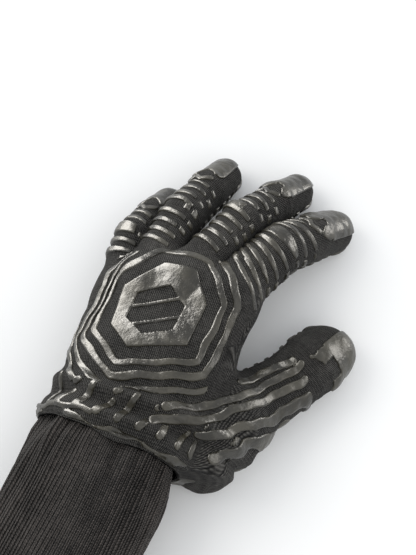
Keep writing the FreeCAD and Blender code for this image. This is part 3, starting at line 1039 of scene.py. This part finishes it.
def tube(run, turn, lift):
    """Points on the cuff at distances below the wrist and turns round it, lifted off the skin."""
    starts, *sizes = CUFF_SECTIONS.T
    wide, high = (np.interp(run, starts, part) + lift for part in sizes)
    bow = CUFF_BOW * smooth_step(0.0, 40.0, run) * smooth_step(131.0, 70.0, run)
    middle = wrist + run[:, None] * cuff_way - bow[:, None] * cuff_side
    middle[:, 2] = np.maximum(middle[:, 2], high + CUFF_LIFT)
    aside, above = wide * np.cos(turn), high * np.sin(turn)
    return middle + aside[:, None] * cuff_side + above[:, None] * cuff_up


def ring_faces(rows, columns):
    """Quads of a tube whose points run round first and then along."""
    row, column = np.meshgrid(np.arange(rows - 1), np.arange(columns), indexing="ij")
    row, column = row.ravel(), column.ravel()
    after = (column + 1) % columns
    first, second = row * columns, (row + 1) * columns
    return np.stack([first + column, second + column, second + after, first + after], 1)


def make_tube(name, start, end, rows, lift, thick, material):
    """A closed-walled tube round the cuff's line; lift(run, turn) gives its relief."""
    columns = RIBS * RIB_STEPS
    run = np.repeat(np.linspace(start, end, rows), columns)
    turn = np.tile(np.arange(columns) * 2 * math.pi / columns, rows)
    points = tube(run, turn, lift(run, turn))
    faces = ring_faces(rows, columns)
    normals = normals_of(points, faces)
    both, closed, _ = shell(points, points - normals * thick, faces, normals)
    knit = np.stack([turn / (2 * math.pi) * RIBS, run / COURSE, 0 * run], 1)
    fields = {"rib_knit": np.concatenate([knit, knit]), "rest": both * MM}
    obj = make_object(name, both, closed, material, fields)
    return obj


def cuff_relief(run, turn):
    """Ribs, with slow bulges and gathers under the hand's border."""
    rib = np.abs(np.cos(turn * RIBS / 2)) - 0.5
    fade = smooth_step(-8.0, 2.0, run)
    gather = smooth_step(46.0, 4.0, run)
    points = np.stack([np.cos(turn) * 38, np.sin(turn) * 34, run], 1)
    folds = waves(points, 17.0, 31, (1.3, 1.3, 0.35)) * 1.9 * gather
    slow = waves(points, 30.0, 33, (1.2, 1.2, 0.5))
    broad = 0.35 * np.cos(turn * RIBS / 4 + 0.9 * np.sin(run / 22.0))
    return rib + fade * (folds + slow) + broad


def make_cuff():
    """The ribbed cuff and its overlocked hem."""
    reach = np.linalg.norm(mouth - wrist)
    knit = make_tube("cuff_rib", -7.0, reach - 3.0, CUFF_ROWS, cuff_relief, 1.6, RIB)
    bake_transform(knit)
    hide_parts("cuff_knit")

    def hem_relief(run, turn):
        """The cuff's relief softened under a round roll, with the overlocking's slanted thread."""
        share = (run - hem_start) / 9.0
        roll = 0.9 * np.sqrt(np.clip(1 - (2 * share - 1) ** 2, 0, 1))
        return cuff_relief(run, turn) * 0.6 + roll + 0.12 * np.cos(turn * 150 + run * 2.2)

    hem_start = reach - 5.0
    hem = make_tube("cuff_hem", hem_start, reach + 4.3, HEM_ROWS, hem_relief, 2.4, THREAD)
    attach(hem, "cuff")
    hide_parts("cuff_hem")


make_hand()
make_liner()
make_cuff()


# ---- what stands for the CAD nodes

def stand_ins():
    """Each piece stands for the CAD nodes of its part, which then aren't shown."""
    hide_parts("palm_knit")
    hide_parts("palm_liner")
    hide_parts("hexagon_print", "ring_print", "band_print", "border_print",
                "palm_grip")
    for name in stalls:
        for part, body in (("_root", "_base"), ("_tip", "_tip")):
            node = name + body
            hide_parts(node + "_knit")
            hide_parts(node + "_liner")
            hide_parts(node + "_print", node + "_grip")


stand_ins()


# ---- camera and studio

# The camera: turn from the front and tilt down in degrees, distance from its target in metres,
# the target beside and beyond the wrist in millimetres and its height in metres, and the lens.
CAMERA_TURN = 17.0
CAMERA_TILT = 67.0
CAMERA_REACH = 0.608
TARGET = (20.4, 102.3)
TARGET_HEIGHT = 0.030
LENS = 74.6
# Square soft lights: name, place, size, power, and whether one is a card seen only in highlights.
LIGHTS = (("key", (-0.62, 0.08, 0.80), 0.50, 2.1, False),
          ("fill", (0.50, -0.40, 0.60), 0.80, 1.4, False),
          ("left_card", (-0.72, 0.50, 0.44), 0.80, 33.0, True),
          ("right_card", (0.80, 0.30, 0.50), 0.30, 1.6, True),
          ("far_card", (0.74, 0.78, 0.20), 0.46, 7.0, True))
LIGHT_COLOUR = (1.0, 0.965, 0.90)
WORLD_COLOUR = (0.975, 0.987, 1.0, 1.0)
WORLD_STRENGTH = 0.935
FLOOR_COLOUR = (0.93, 0.94, 0.95, 1.0)
FLOOR_REACH = 3.0


def add_camera():
    """The camera at the photograph's viewing angle."""
    turn, tilt = math.radians(CAMERA_TURN), math.radians(CAMERA_TILT)
    target = Vector(((wrist[0] + TARGET[0]) * MM, (wrist[1] + TARGET[1]) * MM, TARGET_HEIGHT))
    flat = math.cos(tilt)
    back = Vector((math.sin(turn) * flat, -math.cos(turn) * flat, math.sin(tilt)))
    data = bpy.data.cameras.new("Camera")
    data.lens = LENS
    camera = place_object("Camera", data)
    camera.location = target + back * CAMERA_REACH
    camera.rotation_euler = back.to_track_quat("Z", "Y").to_euler()
    bpy.context.scene.camera = camera


def add_lights():
    """Soft lights and cards, each aimed at the glove."""
    for name, place, size, power, is_card in LIGHTS:
        data = bpy.data.lights.new(name, "AREA")
        data.size = size
        data.energy = power
        data.color = LIGHT_COLOUR
        light = place_object(name, data)
        light.location = place
        light.rotation_euler = Vector(place).to_track_quat("Z", "Y").to_euler()
        light.visible_diffuse = not is_card


def add_studio():
    """A white floor and a white surround."""
    world = bpy.data.worlds.new("Studio")
    world.use_nodes = True
    set_inputs(world.node_tree.nodes["Background"].inputs,
               {"Color": WORLD_COLOUR, "Strength": WORLD_STRENGTH})
    bpy.context.scene.world = world
    mesh = bpy.data.meshes.new("floor")
    corners = [(-1, -1), (1, -1), (1, 1), (-1, 1)]
    mesh.from_pydata([(x * FLOOR_REACH, y * FLOOR_REACH, 0) for x, y in corners], [],
                     [(0, 1, 2, 3)])
    floor = place_object("floor", mesh)
    paint = Shader("floor", 0.9, 0.0)
    paint.link(FLOOR_COLOUR, paint.inputs["Base Color"])
    mesh.materials.append(paint.material)
    bpy.context.scene.view_settings.view_transform = "Standard"


add_camera()
add_studio()
add_lights()
